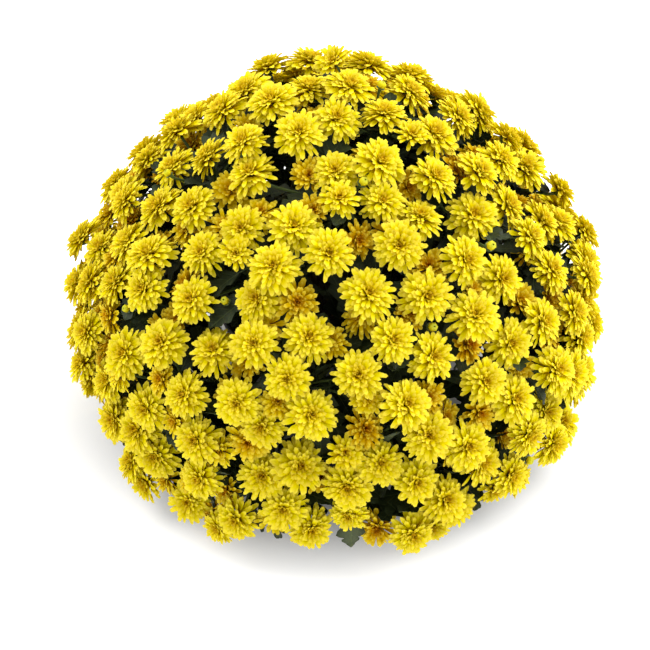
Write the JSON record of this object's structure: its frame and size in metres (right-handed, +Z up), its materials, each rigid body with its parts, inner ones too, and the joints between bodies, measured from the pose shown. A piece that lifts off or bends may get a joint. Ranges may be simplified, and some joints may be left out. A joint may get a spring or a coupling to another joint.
{
  "type": "pot chrysanthemum",
  "caption": "Ball-shaped pot chrysanthemum covered all over with yellow double flowers, in a plain round plastic grower's pot.",
  "frame": {"origin": "middle of the flat underside of the pot, on the surface that it stands on", "axes": "+Z up along the pot's axis; +X to the right and +Y to the back as the plant is pictured"},
  "size_m": [0.4245, 0.4222, 0.3285],
  "materials": {
    "pot": "satin",
    "soil": "matte",
    "foliage": "satin",
    "petals": "matte"
  },
  "bodies": {
    "root": {"pot": "pot", "soil": "soil", "leafy_stem_01": "foliage", "leafy_stem_02": "foliage", "leafy_stem_03": "foliage", "leafy_stem_04": "foliage", "leafy_stem_05": "foliage", "leafy_stem_06": "foliage", "leafy_stem_07": "foliage", "leafy_stem_08": "foliage", "leafy_stem_09": "foliage", "leafy_stem_10": "foliage", "leafy_stem_11": "foliage", "leafy_stem_12": "foliage", "flower_spray_01": "petals", "flower_spray_02": "petals", "flower_spray_03": "petals", "flower_spray_04": "petals", "flower_spray_05": "petals", "flower_spray_06": "petals", "flower_spray_07": "petals", "flower_spray_08": "petals", "flower_spray_09": "petals", "flower_spray_10": "petals", "flower_spray_11": "petals", "flower_spray_12": "petals", "flower_spray_13": "petals", "flower_spray_14": "petals", "flower_spray_15": "petals", "flower_spray_16": "petals", "flower_spray_17": "petals", "flower_spray_18": "petals", "flower_spray_19": "petals", "flower_spray_20": "petals", "flower_spray_21": "petals", "flower_spray_22": "petals", "flower_spray_23": "petals", "flower_spray_24": "petals", "flower_spray_25": "petals", "flower_spray_26": "petals", "flower_spray_27": "petals", "flower_spray_28": "petals", "flower_spray_29": "petals", "flower_spray_30": "petals", "flower_spray_31": "petals", "flower_spray_32": "petals", "flower_spray_33": "petals", "flower_spray_34": "petals", "flower_spray_35": "petals", "flower_spray_36": "petals"}
  },
  "joints": []
}
